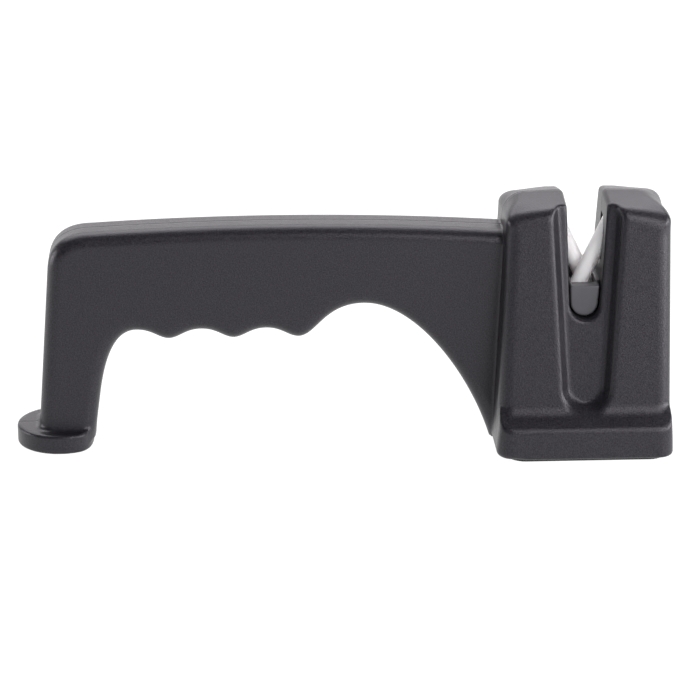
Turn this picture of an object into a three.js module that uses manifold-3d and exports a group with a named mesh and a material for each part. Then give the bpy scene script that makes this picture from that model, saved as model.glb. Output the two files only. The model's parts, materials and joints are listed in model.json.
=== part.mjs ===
// Knife sharpener: a two-part moulded body with a finger grip, a leg on a round foot and a tall head, in
// whose slot two ceramic rods cross. Millimetres, +Z up, X along the length, the seam at Y = 0.
// The origin is under the middle of the object, on the surface that it stands on.
import * as THREE from "three";
import { mergeVertices } from "three/addons/utils/BufferGeometryUtils.js";
import Module from "manifold-3d";

const wasm = await Module();
wasm.setup();

// Whole body
const LENGTH = 200;
const WALL = 2.4;
const SEAM_GAP = 0.3;
const FIT_GAP = 0.3;
const REACH = 120; // cutters run this far past what they cut

// Head
const HEAD_WIDTH = 54;
const HEAD_HEIGHT = 78.2;
const HEAD_EDGE = 4.2; // rounding of the upright edges
const FACE_FOOT_DEPTH = 49.4; // front face to rear face, where they would meet the table
const FACE_LEAN = THREE.MathUtils.degToRad(8.1);
const LEFT_LEAN = THREE.MathUtils.degToRad(2.3);
const RIGHT_LEAN = THREE.MathUtils.degToRad(0.55);
const ROOF_LEAN = THREE.MathUtils.degToRad(9.5);
const ROOF_CROWN = 250; // radius of the ridge along the length
const FACE_CROWN = 100; // and of the roof's edges
const ROOF_EDGE = 2.6;
const ROOF_RIDGE = 0.8; // flat along the seam
const LEFT_SHOULDER = 6;
const RIGHT_SHOULDER = 7.6;
const FACE_SHOULDER = 2.2; // the shoulders get this small at the faces

// Plinth of the head
const BASE_DEPTH = 55.6;
const PLINTH_HEIGHT = 10.5; // to the front edge of its sloping top
const PLINTH_SLOPE = THREE.MathUtils.degToRad(38);
const PLINTH_END_HEIGHT = 7.7;
const PLINTH_END_SLOPE = THREE.MathUtils.degToRad(82);
const PLINTH_EDGE = 1.1;
const PLINTH_STEP = 0.6; // at the right end, the plinth stands this far out
const PLINTH_UNDER_EDGE = 0.9;
const PLINTH_TOE_EDGE = 2; // under the end towards the grip
const PLINTH_CORNER = 5;

// Channel in the front face and in the rear face
const CHANNEL_DEPTH = 3.6;
const CHANNEL_DRAFT = 0.7; // run of the side walls for each millimetre of depth
const CHANNEL_SPREAD = 0.062; // run of the floor's sides for each millimetre of height
const CHANNEL_FOOT_RADIUS = 5.2;
const CHANNEL_FOOT_HEIGHT = 21.9;

// Slot through the head
const SLOT_OFF_MIDDLE = 0.35; // towards the free end of the head
const SLOT_RADIUS = 4.75;
const SLOT_SPREAD = 0.0389; // run of the sides for each millimetre of height
const SLOT_DRAFT = 0.012; // the slot widens this much on each side per millimetre from the seam
const SLOT_BELOW_CROSSING = 5.7;

// Ceramic rods and their holder
const ROD_DIAMETER = 5;
const ROD_LENGTH = 34.5;
const ROD_LEAN = THREE.MathUtils.degToRad(25);
const ROD_GAP = 0.8;
const ROD_CLEARANCE = 0.25;
const ROD_END_EDGE = 0.4;
const ROD_BELOW_CROSSING = 12.5; // along the rod
const CROSSING_BELOW_TOP = 26.3;
const HOLDER_BELOW_CROSSING = 0.5;
const HOLDER_LENGTH = 24.6; // along the slot
const HOLDER_EDGE = 0.5;
const HOLDER_WALL = 1.8;
const WELL_LENGTH = 16.6; // the well in which the rods stand
const WELL_WALL = 0.9;
const WELL_DEPTH = 7.2;

// Grip
const GRIP_THICKNESS = 17.6;
const GRIP_EDGE = 2.4;
const GRIP_HEIGHT = 69.4;
const GRIP_PEAK = 66.4; // from the foot's middle to the highest point
const GRIP_CROWN_RADIUS = 1000;
const GRIP_IN_HEAD = 10.8; // the grip runs this far into the head
const FINGER_HEIGHT = 36.35;
const FINGER_WAVE = 1.43;
const FINGER_SCALLOP = 0.155; // makes the grooves wider than the ridges
const FINGER_PITCH = 19.7;
const FINGER_GROOVES = 3;
const FIRST_GROOVE = 23.8; // from the foot's middle
const ARCH_HEIGHT = 45.2;
const ARCH_RUN = 20; // from the last finger ridge to the top of the arch
const ARCH_RISE_PULL = [5.6, 12.2]; // control points of the rise, before and after its steepest place
const ARCH_FALL_PULL = [15.4, 6.6];
const ARCH_FALL_HEIGHT = 21.8;
const TOE_OUT = 0.5; // the arch comes down this far outside the plinth

// Leg and foot
const LEG_OUTSIDE = 7; // from the foot's middle, at the foot
const LEG_INSIDE = 10;
const LEG_OUTER_LEAN = 0.08; // run per millimetre of height
const LEG_INNER_LEAN = 0.14;
const LEG_CORNER = 12.6;
const CROTCH_DROP = 20.5;
const FOOT_RADIUS = 13.6;
const FOOT_TOP = 6.15;
const FOOT_EDGE = 0.8;
const FOOT_CORNER = 4.2;
const FOOT_SOLE = 0.2; // height of the foot's own underside

// Pads
const PAD_PROUD = 1;
const PAD_RECESS = 1.2;
const PAD_INSET = 1.7;
const PAD_TOE_INSET = 3.2;
const PAD_CORNER = 6;

// Screws
const SCREW_RADIUS = 1.3;
const SCREW_HEAD_RADIUS = 2.75;
const SCREW_HEAD_HEIGHT = 1.8;
const SCREW_HEAD_SIDE = 1.1; // height of the head's upright side
const SCREW_HEAD_CROWN = 1.9; // radius of the head's flat top
const SCREW_LENGTH = 10.4;
const SCREW_RECESS = 3.8; // from the grip's rear face to the seat of the screw head
const BOSS_WALL = 1.7;
const LEG_SCREW_HEIGHT = 19;
const GRIP_SCREW_HEIGHT = 53;
const HEAD_SCREW_HEIGHT = 30;
const HEAD_SCREW_INSET = 9.2;

// Number of straight steps along each round stretch
const CORNER_STEPS = 5;
const EDGE_STEPS = 3;
const CURVE_STEPS = 10;
const FINGER_STEPS = 8;
const CIRCLE_STEPS = 24;

// Derived places
const headRight = LENGTH / 2;
const headLeft = headRight - HEAD_WIDTH;
const slotX = headRight - HEAD_WIDTH / 2 + SLOT_OFF_MIDDLE;
const footX = FOOT_RADIUS - LENGTH / 2;
const crossingZ = HEAD_HEIGHT - CROSSING_BELOW_TOP;
const slotFootZ = crossingZ - SLOT_BELOW_CROSSING;
const holderTopZ = crossingZ - HOLDER_BELOW_CROSSING;
const roofLeft = headLeft + HEAD_HEIGHT * Math.tan(LEFT_LEAN);
const roofRight = headRight - PLINTH_STEP - HEAD_HEIGHT * Math.tan(RIGHT_LEAN);
const faceFoot = FACE_FOOT_DEPTH / 2;
const gripSide = GRIP_THICKNESS / 2;
const screwSeatY = gripSide - SCREW_RECESS;
const rodRadius = ROD_DIAMETER / 2;
const rodY = (ROD_DIAMETER + ROD_GAP) / 2;
const lastRidgeX = footX + FIRST_GROOVE + (FINGER_GROOVES - 0.5) * FINGER_PITCH;
const archX = lastRidgeX + ARCH_RUN;
const ridgeZ = FINGER_HEIGHT - FINGER_WAVE;

const vec = (x, y) => new THREE.Vector2(x, y);

// Solid helpers

// The solid of a geometry, with shared corners merged and empty triangles left out.
function solid(geometry) {
  const bare = new THREE.BufferGeometry();
  bare.setAttribute("position", geometry.getAttribute("position"));
  bare.setIndex(geometry.index);
  const merged = mergeVertices(bare, 1e-4);
  const corners = merged.index.array;
  const triangles = [];
  for (let i = 0; i < corners.length; i += 3) {
    const [a, b, c] = corners.slice(i, i + 3);
    if (a !== b && b !== c && c !== a) triangles.push(a, b, c);
  }
  return new wasm.Manifold(
    new wasm.Mesh({
      numProp: 3,
      vertProperties: merged.getAttribute("position").array,
      triVerts: new Uint32Array(triangles),
    }),
  );
}

// The geometry of a finished solid.
function geometryOf(made) {
  const mesh = made.getMesh();
  const geometry = new THREE.BufferGeometry();
  geometry.setAttribute("position", new THREE.BufferAttribute(mesh.vertProperties, mesh.numProp));
  geometry.setIndex(new THREE.BufferAttribute(mesh.triVerts, 1));
  geometry.computeVertexNormals();
  return geometry;
}

// Six times the volume inside a triangle list, below zero when its faces point inwards.
function signedVolume(points, triangles) {
  let sum = 0;
  for (let i = 0; i < triangles.length; i += 3) {
    const [a, b, c] = triangles.slice(i, i + 3).map((k) => points[k]);
    sum += a.dot(b.clone().cross(c));
  }
  return sum;
}

// A closed solid through rows of outlines, each with equally many points in anticlockwise order.
// Each row is { outline, place }, and place turns a point of the outline into a point in space.
function loft(rows) {
  const count = rows[0].outline.length;
  const points = rows.flatMap(({ outline, place }) => outline.map(place));
  const triangles = [];
  for (let start = 0; start + count < points.length; start += count) {
    for (let i = 0; i < count; i++) {
      const a = start + i;
      const b = start + ((i + 1) % count);
      triangles.push(a, b, b + count, a, b + count, a + count);
    }
  }
  const last = points.length - count;
  for (const [a, b, c] of THREE.ShapeUtils.triangulateShape(rows[0].outline, [])) triangles.push(a, c, b);
  for (const face of THREE.ShapeUtils.triangulateShape(rows.at(-1).outline, [])) {
    triangles.push(...face.map((i) => i + last));
  }
  if (signedVolume(points, triangles) < 0) triangles.reverse();
  const geometry = new THREE.BufferGeometry().setFromPoints(points);
  geometry.setIndex(triangles);
  return solid(geometry);
}

const cylinderAlongY = (radius, fromY, toY, x, z) =>
  solid(
    new THREE.CylinderGeometry(radius, radius, toY - fromY, CIRCLE_STEPS).translate(x, (fromY + toY) / 2, z),
  );

function box(low, high) {
  const space = new THREE.Box3(new THREE.Vector3(...low), new THREE.Vector3(...high));
  const size = space.getSize(new THREE.Vector3());
  const middle = space.getCenter(new THREE.Vector3());
  return solid(new THREE.BoxGeometry(size.x, size.y, size.z).translate(middle.x, middle.y, middle.z));
}

// Outline helpers

// Points of an arc about a centre, from one angle to another, in degrees.
function arc(centre, radius, from, to, steps) {
  return Array.from({ length: steps + 1 }, (_, i) => {
    const angle = THREE.MathUtils.degToRad(from + ((to - from) * i) / steps);
    return vec(centre.x + radius * Math.cos(angle), centre.y + radius * Math.sin(angle));
  });
}

function roundedRectangle(left, right, halfDepth, corner) {
  const corners = [
    [right, -halfDepth, -1, 1, -90],
    [right, halfDepth, -1, -1, 0],
    [left, halfDepth, 1, -1, 90],
    [left, -halfDepth, 1, 1, 180],
  ];
  return corners.flatMap(([x, y, inX, inY, from]) =>
    arc(vec(x + inX * corner, y + inY * corner), corner, from, from + 90, CORNER_STEPS),
  );
}

// A U open at the top, whose sides spread by a given run from its round foot to its top.
function uOutline(radius, footZ, spread, topZ) {
  const foot = arc(vec(0, footZ), radius, 180, 360, 2 * CORNER_STEPS);
  const halfTop = radius + spread * (topZ - footZ);
  return [...foot, vec(halfTop, topZ), vec(-halfTop, topZ)];
}

// An outline moved inwards, square to itself at each point, by no more than a corner's sharpness allows.
function inset(outline, distance, sharpest = Math.SQRT1_2) {
  return outline.map((point, i) => {
    const before = outline.at(i - 1);
    const after = outline[(i + 1) % outline.length];
    const entering = point.clone().sub(before).normalize();
    const leaving = after.clone().sub(point).normalize();
    const along = entering.clone().add(leaving).normalize();
    const stretch = Math.max(along.dot(leaving), sharpest);
    return vec(point.x - (along.y * distance) / stretch, point.y + (along.x * distance) / stretch);
  });
}

// Head

const faceDepth = (z) => faceFoot - z * Math.tan(FACE_LEAN);
const leftEnd = (z) => headLeft + z * Math.tan(LEFT_LEAN);
const rightEnd = (z) => headRight - PLINTH_STEP - z * Math.tan(RIGHT_LEAN);

// How far a quarter round draws a surface in, at a distance from where the round starts.
function roundDraw(distance, radius) {
  const left = radius - THREE.MathUtils.clamp(distance, 0, radius);
  return radius - Math.sqrt(radius ** 2 - left ** 2);
}

// One level of the head: its height, half depth, two ends and corner radius.
const level = (z, halfDepth, left, right, corner) => ({ z, halfDepth, left, right, corner });
const faceLevel = (z) => level(z, faceDepth(z), leftEnd(z), rightEnd(z), HEAD_EDGE);

// The plinth's levels up to its sloping top, with rounds underneath.
function plinthLevels() {
  const half = BASE_DEPTH / 2;
  const rounds = [PLINTH_UNDER_EDGE, PLINTH_TOE_EDGE].flatMap((radius) =>
    arc(vec(0, radius), radius, -90, 0, EDGE_STEPS).map((p) => Math.max(p.y, 0)),
  );
  const heights = [...new Set(rounds)].sort((a, b) => a - b);
  const under = heights.map((above) => {
    const draw = roundDraw(above, PLINTH_UNDER_EDGE);
    const left = headLeft + roundDraw(above, PLINTH_TOE_EDGE);
    return level(PAD_PROUD + above, half - draw, left, headRight - draw, PLINTH_CORNER);
  });

  const run = PLINTH_EDGE * Math.tan((Math.PI / 2 - PLINTH_SLOPE) / 2);
  const rise = 1 / Math.tan(PLINTH_SLOPE);
  const meetZ = (half - faceFoot + PLINTH_HEIGHT * rise) / (rise - Math.tan(FACE_LEAN));
  const slope = [
    [PLINTH_END_HEIGHT, half],
    [PLINTH_HEIGHT - run, half],
    [PLINTH_HEIGHT + run * Math.sin(PLINTH_SLOPE), half - run * Math.cos(PLINTH_SLOPE)],
    [meetZ, faceDepth(meetZ)],
  ].map(([z, depth]) => {
    const draw = (z - PLINTH_END_HEIGHT) / Math.tan(PLINTH_END_SLOPE);
    const left = Math.min(headLeft + draw, leftEnd(z));
    const right = Math.max(headRight - draw, rightEnd(z));
    const corner = THREE.MathUtils.mapLinear(z, PLINTH_END_HEIGHT, meetZ, PLINTH_CORNER, HEAD_EDGE);
    return level(z, depth, left, right, corner);
  });
  return [...under, ...slope, faceLevel(meetZ + PLINTH_EDGE)];
}

// How much lower the roof lies at a place along the head; share is 0 at the ridge and 1 at the roof's edge.
function roofDrop(x, share) {
  const left = THREE.MathUtils.lerp(LEFT_SHOULDER, FACE_SHOULDER, share);
  const right = THREE.MathUtils.lerp(RIGHT_SHOULDER, FACE_SHOULDER, share);
  const crown = (x - slotX) ** 2 / (2 * THREE.MathUtils.lerp(ROOF_CROWN, FACE_CROWN, share));
  return crown + roundDraw(x - roofLeft, left) + roundDraw(roofRight - x, right);
}

// The roof across the head at one place along it: two slopes with a round between each and the leaning face.
function roofOutline(x) {
  const slope = Math.tan(ROOF_LEAN);
  const edgeY = faceDepth(HEAD_HEIGHT);
  const roundZ = HEAD_HEIGHT - (edgeY - ROOF_EDGE) * slope - ROOF_EDGE - roofDrop(x, 1);
  const roundY = faceDepth(roundZ) - ROOF_EDGE / Math.cos(FACE_LEAN);
  const [faceAngle, roofAngle] = [FACE_LEAN, Math.PI / 2 - ROOF_LEAN].map(THREE.MathUtils.radToDeg);
  const side = arc(vec(roundY, roundZ), ROOF_EDGE, faceAngle, roofAngle, EDGE_STEPS);
  const lastY = side.at(-1).x;
  for (let i = EDGE_STEPS - 1; i >= 0; i--) {
    const share = i / EDGE_STEPS;
    const y = THREE.MathUtils.lerp(ROOF_RIDGE, lastY, share);
    side.push(vec(y, HEAD_HEIGHT - (y - ROOF_RIDGE) * slope - roofDrop(x, share)));
  }
  const foot = vec(BASE_DEPTH, 0);
  const mirrored = [...side].reverse().map((p) => vec(-p.x, p.y));
  return [vec(-foot.x, foot.y), foot, ...side, ...mirrored];
}

function roofSolid() {
  const left = arc(vec(roofLeft + LEFT_SHOULDER, 0), LEFT_SHOULDER, 180, 90, CORNER_STEPS);
  const right = arc(vec(roofRight - RIGHT_SHOULDER, 0), RIGHT_SHOULDER, 90, 0, CORNER_STEPS);
  const [from, to] = [left.at(-1).x, right[0].x];
  const middle = Array.from({ length: CURVE_STEPS - 1 }, (_, i) =>
    THREE.MathUtils.lerp(from, to, (i + 1) / CURVE_STEPS),
  );
  const along = [headLeft - HEAD_EDGE, ...left.map((p) => p.x), ...middle, ...right.map((p) => p.x)];
  return loft(
    [...along, headRight + HEAD_EDGE].map((x) => ({
      outline: roofOutline(x),
      place: (p) => new THREE.Vector3(x, p.x, p.y),
    })),
  );
}

const levelRow = ({ z, halfDepth, left, right, corner }) => ({
  outline: roundedRectangle(left, right, halfDepth, corner),
  place: (p) => new THREE.Vector3(p.x, p.y, z),
});

function headSolid() {
  const levels = [...plinthLevels(), faceLevel(HEAD_HEIGHT + ROOF_EDGE)];
  return loft(levels.map(levelRow)).intersect(roofSolid());
}

// The room inside the head, one wall in from its faces, its ends, its roof and its floor.
function headRoom() {
  const floorZ = PAD_PROUD + PAD_RECESS + WALL;
  const ceilingZ = HEAD_HEIGHT - RIGHT_SHOULDER - WALL / 2;
  return loft(
    [floorZ, ceilingZ].map((z) =>
      levelRow(level(z, faceDepth(z) - WALL, leftEnd(z) + WALL, rightEnd(z) - WALL, HEAD_EDGE - WALL)),
    ),
  );
}

// The channel of one face, side -1 in front and +1 at the rear, widened and deepened by a margin.
function channel(side, margin = 0) {
  const sin = Math.sin(FACE_LEAN);
  const cos = Math.cos(FACE_LEAN);
  const rows = [-CHANNEL_DEPTH - margin, CHANNEL_DEPTH].map((out) => {
    const grow = (out + CHANNEL_DEPTH + margin) * CHANNEL_DRAFT + margin;
    return {
      outline: uOutline(CHANNEL_FOOT_RADIUS + grow, CHANNEL_FOOT_HEIGHT, CHANNEL_SPREAD, REACH),
      place: (p) =>
        new THREE.Vector3(slotX + p.x, side * (faceFoot - p.y * sin + out * cos), p.y * cos + out * sin),
    };
  });
  return loft(rows);
}

// The slot, narrowest at the seam, widened by a margin.
function slot(margin = 0) {
  return loft(
    [-REACH, 0, REACH].map((y) => ({
      outline: uOutline(SLOT_RADIUS + Math.abs(y) * SLOT_DRAFT + margin, slotFootZ, SLOT_SPREAD, REACH),
      place: (p) => new THREE.Vector3(slotX + p.x, y, p.y),
    })),
  );
}

// Grip, leg and foot

const crownZ = (x) => GRIP_HEIGHT - (x - footX - GRIP_PEAK) ** 2 / (2 * GRIP_CROWN_RADIUS);
const legOuterX = (z) => footX - LEG_OUTSIDE + z * LEG_OUTER_LEAN;
const legInnerX = (z) => footX + LEG_INSIDE + z * LEG_INNER_LEAN;

function fingerZ(x) {
  const turn = ((x - footX - FIRST_GROOVE) / FINGER_PITCH) * 2 * Math.PI;
  return FINGER_HEIGHT + FINGER_WAVE * Math.cos(turn) + FINGER_SCALLOP * (1 - Math.cos(2 * turn));
}

// The underside of the grip, from the inner foot of the leg to the toe at the head.
function gripUnderside() {
  const footZ = FOOT_TOP / 2;
  const waveStart = footX + FIRST_GROOVE;
  const waveTopZ = fingerZ(waveStart);
  const crotchZ = waveTopZ - CROTCH_DROP;
  const crotch = new THREE.QuadraticBezierCurve(
    vec(legInnerX(crotchZ), crotchZ),
    vec(legInnerX(waveTopZ), waveTopZ),
    vec(waveStart, waveTopZ),
  );
  const line = [vec(legInnerX(footZ), footZ), ...crotch.getPoints(CURVE_STEPS)];

  const waveSteps = FINGER_GROOVES * FINGER_STEPS;
  for (let i = 1; i <= waveSteps; i++) {
    const x = THREE.MathUtils.lerp(waveStart, lastRidgeX, i / waveSteps);
    line.push(vec(x, fingerZ(x)));
  }
  const [riseLeave, riseReach] = ARCH_RISE_PULL;
  const archRise = new THREE.CubicBezierCurve(
    vec(lastRidgeX, ridgeZ),
    vec(lastRidgeX + riseLeave, ridgeZ),
    vec(archX - riseReach, ARCH_HEIGHT),
    vec(archX, ARCH_HEIGHT),
  );
  const [fallLeave, fallReach] = ARCH_FALL_PULL;
  const toe = vec(headLeft - TOE_OUT, PAD_PROUD);
  const archFall = new THREE.CubicBezierCurve(
    vec(archX, ARCH_HEIGHT),
    vec(archX + fallLeave, ARCH_HEIGHT),
    vec(toe.x - fallReach, ARCH_FALL_HEIGHT),
    toe,
  );
  const arch = [archRise, archFall].flatMap((curve) => curve.getPoints(CURVE_STEPS).slice(1));
  return [...line, ...arch];
}

// Outline of the grip seen from the front, anticlockwise from the outer foot of the leg.
function gripOutline() {
  const footZ = FOOT_TOP / 2;
  const inHead = headLeft + GRIP_IN_HEAD;
  const cornerX = legOuterX(GRIP_HEIGHT) + LEG_CORNER;
  const top = [vec(inHead, PAD_PROUD)];
  for (let i = 0; i <= CURVE_STEPS; i++) {
    const x = THREE.MathUtils.lerp(inHead, cornerX, i / CURVE_STEPS);
    top.push(vec(x, crownZ(x)));
  }
  const shoulder = new THREE.QuadraticBezierCurve(
    vec(cornerX, crownZ(cornerX)),
    vec(legOuterX(crownZ(cornerX)), crownZ(cornerX)),
    vec(legOuterX(GRIP_HEIGHT - LEG_CORNER), GRIP_HEIGHT - LEG_CORNER),
  );
  top.push(...shoulder.getPoints(CURVE_STEPS).slice(1));
  return [vec(legOuterX(footZ), footZ), ...gripUnderside(), ...top];
}

const inSidePlane = (y) => (p) => new THREE.Vector3(p.x, y, p.y);

function gripSolid() {
  const outline = gripOutline();
  const round = arc(vec(gripSide - GRIP_EDGE, 0), GRIP_EDGE, 0, 90, EDGE_STEPS);
  const half = round.map((p) => ({ y: p.x, draw: GRIP_EDGE - p.y }));
  const rows = [...half.map(({ y, draw }) => ({ y: -y, draw })), ...half.reverse()];
  return loft(rows.map(({ y, draw }) => ({ outline: inset(outline, draw), place: inSidePlane(y) })));
}

function gripRoom() {
  const outline = inset(gripOutline(), WALL);
  const side = gripSide - WALL;
  const room = loft([-side, side].map((y) => ({ outline, place: inSidePlane(y) })));
  const aboveFoot = box([-REACH, -REACH, FOOT_TOP + WALL], [REACH, REACH, REACH]);
  return room.intersect(aboveFoot);
}

// A round foot cut flush with the inner side of the leg.
function footOutline(draw) {
  const radius = FOOT_RADIUS - draw;
  const corner = FOOT_CORNER - draw;
  const flat = LEG_INSIDE - draw;
  const cornerX = flat - corner;
  const cornerY = Math.sqrt((radius - corner) ** 2 - cornerX ** 2);
  const meet = THREE.MathUtils.radToDeg(Math.atan2(cornerY, cornerX));
  return [
    ...arc(vec(cornerX, cornerY), corner, 0, meet, EDGE_STEPS),
    ...arc(vec(0, 0), radius, meet, 360 - meet, CIRCLE_STEPS).slice(1, -1),
    ...arc(vec(cornerX, -cornerY), corner, 360 - meet, 360, EDGE_STEPS),
  ];
}

const onFoot = (z) => (p) => new THREE.Vector3(footX + p.x, p.y, z);

function footSolid() {
  const under = arc(vec(0, FOOT_SOLE + FOOT_EDGE), FOOT_EDGE, -90, 0, EDGE_STEPS);
  const over = arc(vec(0, FOOT_TOP - FOOT_EDGE), FOOT_EDGE, 0, 90, EDGE_STEPS);
  return loft(
    [...under, ...over].map((p) => ({ outline: footOutline(FOOT_EDGE - p.x), place: onFoot(p.y) })),
  );
}

// Pads, with a margin for the recess that each is set in

function basePad(margin, topZ) {
  const left = headLeft + PAD_TOE_INSET - margin;
  const right = headRight - PAD_INSET + margin;
  const halfDepth = BASE_DEPTH / 2 - PAD_INSET + margin;
  const outline = roundedRectangle(left, right, halfDepth, PAD_CORNER + margin);
  return loft([0, topZ].map((z) => ({ outline, place: (p) => new THREE.Vector3(p.x, p.y, z) })));
}

function footPad(margin, topZ) {
  const outline = footOutline(FOOT_EDGE + PAD_INSET / 2 - margin);
  return loft([0, topZ].map((z) => ({ outline, place: onFoot(z) })));
}

const padTopZ = PAD_PROUD + PAD_RECESS - FIT_GAP;
const recessTopZ = PAD_PROUD + PAD_RECESS;

// Rods: the front one leans right, the rear one is the same turned half round about the slot's middle

const rodSides = [
  { name: "ceramic_rod_front", y: -rodY, lean: ROD_LEAN },
  { name: "ceramic_rod_rear", y: rodY, lean: -ROD_LEAN },
];

const rodPlace = ({ y, lean }) =>
  new THREE.Matrix4().makeTranslation(slotX, y, crossingZ).multiply(new THREE.Matrix4().makeRotationY(lean));

function rodGeometry() {
  const profile = [
    vec(0, rodFoot),
    vec(rodRadius - ROD_END_EDGE, rodFoot),
    vec(rodRadius, rodFoot + ROD_END_EDGE),
    vec(rodRadius, rodTip - ROD_END_EDGE),
    vec(rodRadius - ROD_END_EDGE, rodTip),
    vec(0, rodTip),
  ];
  return new THREE.LatheGeometry(profile, CIRCLE_STEPS).rotateX(Math.PI / 2);
}

// A round bar on a rod's line, from one distance along it to another.
function onRod(side, radius, from, to) {
  const bar = new THREE.CylinderGeometry(radius, radius, to - from, CIRCLE_STEPS).rotateX(Math.PI / 2);
  return solid(bar.translate(0, 0, (from + to) / 2).applyMatrix4(rodPlace(side)));
}

const rodFoot = -ROD_BELOW_CROSSING;
const rodTip = ROD_LENGTH - ROD_BELOW_CROSSING;
const rodBore = (side) => onRod(side, rodRadius + ROD_CLEARANCE, rodFoot - FIT_GAP, rodTip + FIT_GAP);

// The upper seat is open to the seam, so that the rod can be laid in before the halves close.
function rodTrough(side) {
  const half = rodRadius + ROD_CLEARANCE;
  const length = rodTip + FIT_GAP;
  const bar = new THREE.BoxGeometry(2 * half, rodY, length);
  bar.translate(0, (-Math.sign(side.y) * rodY) / 2, length / 2);
  return rodBore(side).add(solid(bar.applyMatrix4(rodPlace(side))));
}

const rodBoss = (side) =>
  onRod(side, rodRadius + ROD_CLEARANCE + WALL, 0, rodTip + FIT_GAP + WALL);

// Holder: a core that grips the rods' feet, and a nose that fills the foot of the slot

const holderFootZ = crossingZ - (ROD_BELOW_CROSSING + rodRadius) * Math.cos(ROD_LEAN) - HOLDER_WALL;
const holderSideX =
  ROD_BELOW_CROSSING * Math.sin(ROD_LEAN) + rodRadius / Math.cos(ROD_LEAN) + HOLDER_WALL;
const holderSideY = rodY + rodRadius + HOLDER_WALL;

const holderCore = (margin) =>
  box(
    [slotX - holderSideX - margin, -holderSideY - margin, holderFootZ - margin],
    [slotX + holderSideX + margin, holderSideY + margin, holderTopZ + Math.min(margin, FIT_GAP)],
  );

// A length of the slot's own form, drawn in by a margin, up to a height.
const slotPlug = (rows, topZ) =>
  loft(
    rows.map(({ y, draw }) => ({
      outline: uOutline(SLOT_RADIUS - draw, slotFootZ, SLOT_SPREAD, topZ),
      place: (p) => new THREE.Vector3(slotX + p.x, y, p.y),
    })),
  );

// The nose is no wider than the slot at the seam, so that the halves can close over it.
function holderSolid() {
  const half = HOLDER_LENGTH / 2;
  const nose = slotPlug(
    [
      { y: -half, draw: FIT_GAP + HOLDER_EDGE },
      { y: -half + HOLDER_EDGE, draw: FIT_GAP },
      { y: half - HOLDER_EDGE, draw: FIT_GAP },
      { y: half, draw: FIT_GAP + HOLDER_EDGE },
    ],
    holderTopZ,
  );
  const wellEnds = [-WELL_LENGTH / 2, WELL_LENGTH / 2].map((y) => ({ y, draw: FIT_GAP + WELL_WALL }));
  const aboveFloor = box([-REACH, -REACH, holderTopZ - WELL_DEPTH], [REACH, REACH, REACH]);
  const well = slotPlug(wellEnds, REACH).intersect(aboveFloor);
  const block = nose.add(holderCore(0)).subtract(well);
  return rodSides.reduce((made, side) => made.subtract(rodBore(side)), block);
}

// Screws, driven from the rear into bosses of the front half

const legMiddleX = (z) => (legOuterX(z) + legInnerX(z)) / 2;
const screws = [
  { name: "leg_screw", x: legMiddleX(LEG_SCREW_HEIGHT), z: LEG_SCREW_HEIGHT },
  { name: "grip_screw", x: footX + FIRST_GROOVE, z: GRIP_SCREW_HEIGHT },
  { name: "neck_screw", x: archX, z: (ARCH_HEIGHT + GRIP_HEIGHT) / 2 },
  { name: "head_screw_left", x: headLeft + HEAD_SCREW_INSET, z: HEAD_SCREW_HEIGHT },
  { name: "head_screw_right", x: headRight - HEAD_SCREW_INSET, z: HEAD_SCREW_HEIGHT },
];

const counterboreRadius = SCREW_HEAD_RADIUS + FIT_GAP;
const screwBoss = ({ x, z }) => cylinderAlongY(counterboreRadius + BOSS_WALL, -REACH, REACH, x, z);

// Pilot in the front half, clearance through the seam and a counterbore to the rear face.
function screwHole({ x, z }) {
  const tipY = screwSeatY - SCREW_LENGTH - FIT_GAP;
  const shank = cylinderAlongY(SCREW_RADIUS + FIT_GAP, tipY, screwSeatY + FIT_GAP, x, z);
  return shank.add(cylinderAlongY(counterboreRadius, screwSeatY, REACH, x, z));
}

function screwGeometry() {
  const point = SCREW_RADIUS * 2;
  const profile = [
    vec(0, -SCREW_LENGTH),
    vec(SCREW_RADIUS, point - SCREW_LENGTH),
    vec(SCREW_RADIUS, 0),
    vec(SCREW_HEAD_RADIUS, 0),
    vec(SCREW_HEAD_RADIUS, SCREW_HEAD_SIDE),
    vec(SCREW_HEAD_CROWN, SCREW_HEAD_HEIGHT),
    vec(0, SCREW_HEAD_HEIGHT),
  ];
  return new THREE.LatheGeometry(profile, CIRCLE_STEPS / 2);
}

// Body: the outer form, less the room inside it, cut at the seam into two halves

function bodySolid() {
  const outer = [gripSolid(), footSolid()].reduce((made, next) => made.add(next), headSolid());
  const kept = [
    slot(WALL),
    channel(-1, WALL),
    channel(1, WALL),
    holderCore(FIT_GAP + WALL),
    ...rodSides.map(rodBoss),
    ...screws.map(screwBoss),
  ];
  const room = kept.reduce((made, next) => made.subtract(next), headRoom().add(gripRoom()));
  const cuts = [
    room,
    channel(-1),
    channel(1),
    slot(),
    holderCore(FIT_GAP),
    basePad(FIT_GAP, recessTopZ),
    footPad(FIT_GAP, recessTopZ),
    ...screws.map(screwHole),
  ];
  return cuts.reduce((made, next) => made.subtract(next), outer);
}

// The half of the body on one side of the seam.
function halfOf(body, sign) {
  const seam = (sign * SEAM_GAP) / 2;
  const low = [-REACH, Math.min(seam, sign * REACH), -REACH];
  const high = [REACH, Math.max(seam, sign * REACH), REACH];
  return body.intersect(box(low, high));
}

// Materials

const material = (color, roughness) => new THREE.MeshStandardMaterial({ color, roughness, metalness: 0 });
const charcoalPlastic = material(0x3d3c40, 0.5);
const holderPlastic = material(0x5a5a5c, 0.35);
const whiteCeramic = material(0xe6e0da, 0.6);
const blackRubber = material(0x1c1c1d, 0.85);
const zincSteel = new THREE.MeshStandardMaterial({ color: 0x9a9a98, roughness: 0.35, metalness: 1 });

// Assembly

const sharpener = new THREE.Group();

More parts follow.
